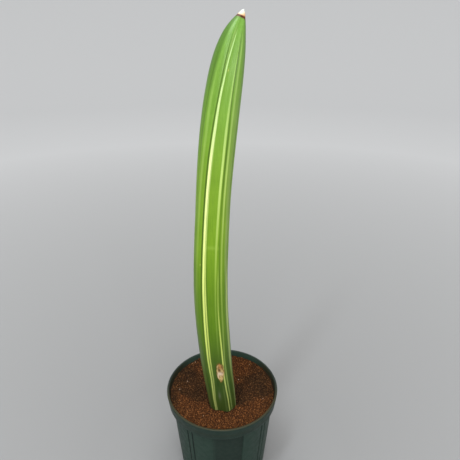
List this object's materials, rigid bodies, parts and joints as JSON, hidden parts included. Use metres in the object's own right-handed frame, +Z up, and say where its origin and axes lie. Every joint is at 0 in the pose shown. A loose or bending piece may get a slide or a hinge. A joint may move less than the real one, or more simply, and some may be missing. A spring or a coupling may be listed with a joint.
{
  "type": "potted sansevieria sinu-simiorum",
  "caption": "Potted succulent: a tall thick channelled leaf with pale lengthwise stripes and a hard pale point, in granular soil in a round tapered nursery pot.",
  "frame": {"origin": "centre of the pot's underside, on the surface that the pot stands on", "axes": "+Z up along the leaf, -Y towards the front, where the leaf's channel faces"},
  "size_m": [0.12, 0.12, 0.4755],
  "materials": {
    "pot": "satin",
    "soil": "matte",
    "leaf": "satin"
  },
  "bodies": {
    "root": {"pot": "pot", "soil": "soil", "leaf": "leaf"}
  },
  "joints": []
}
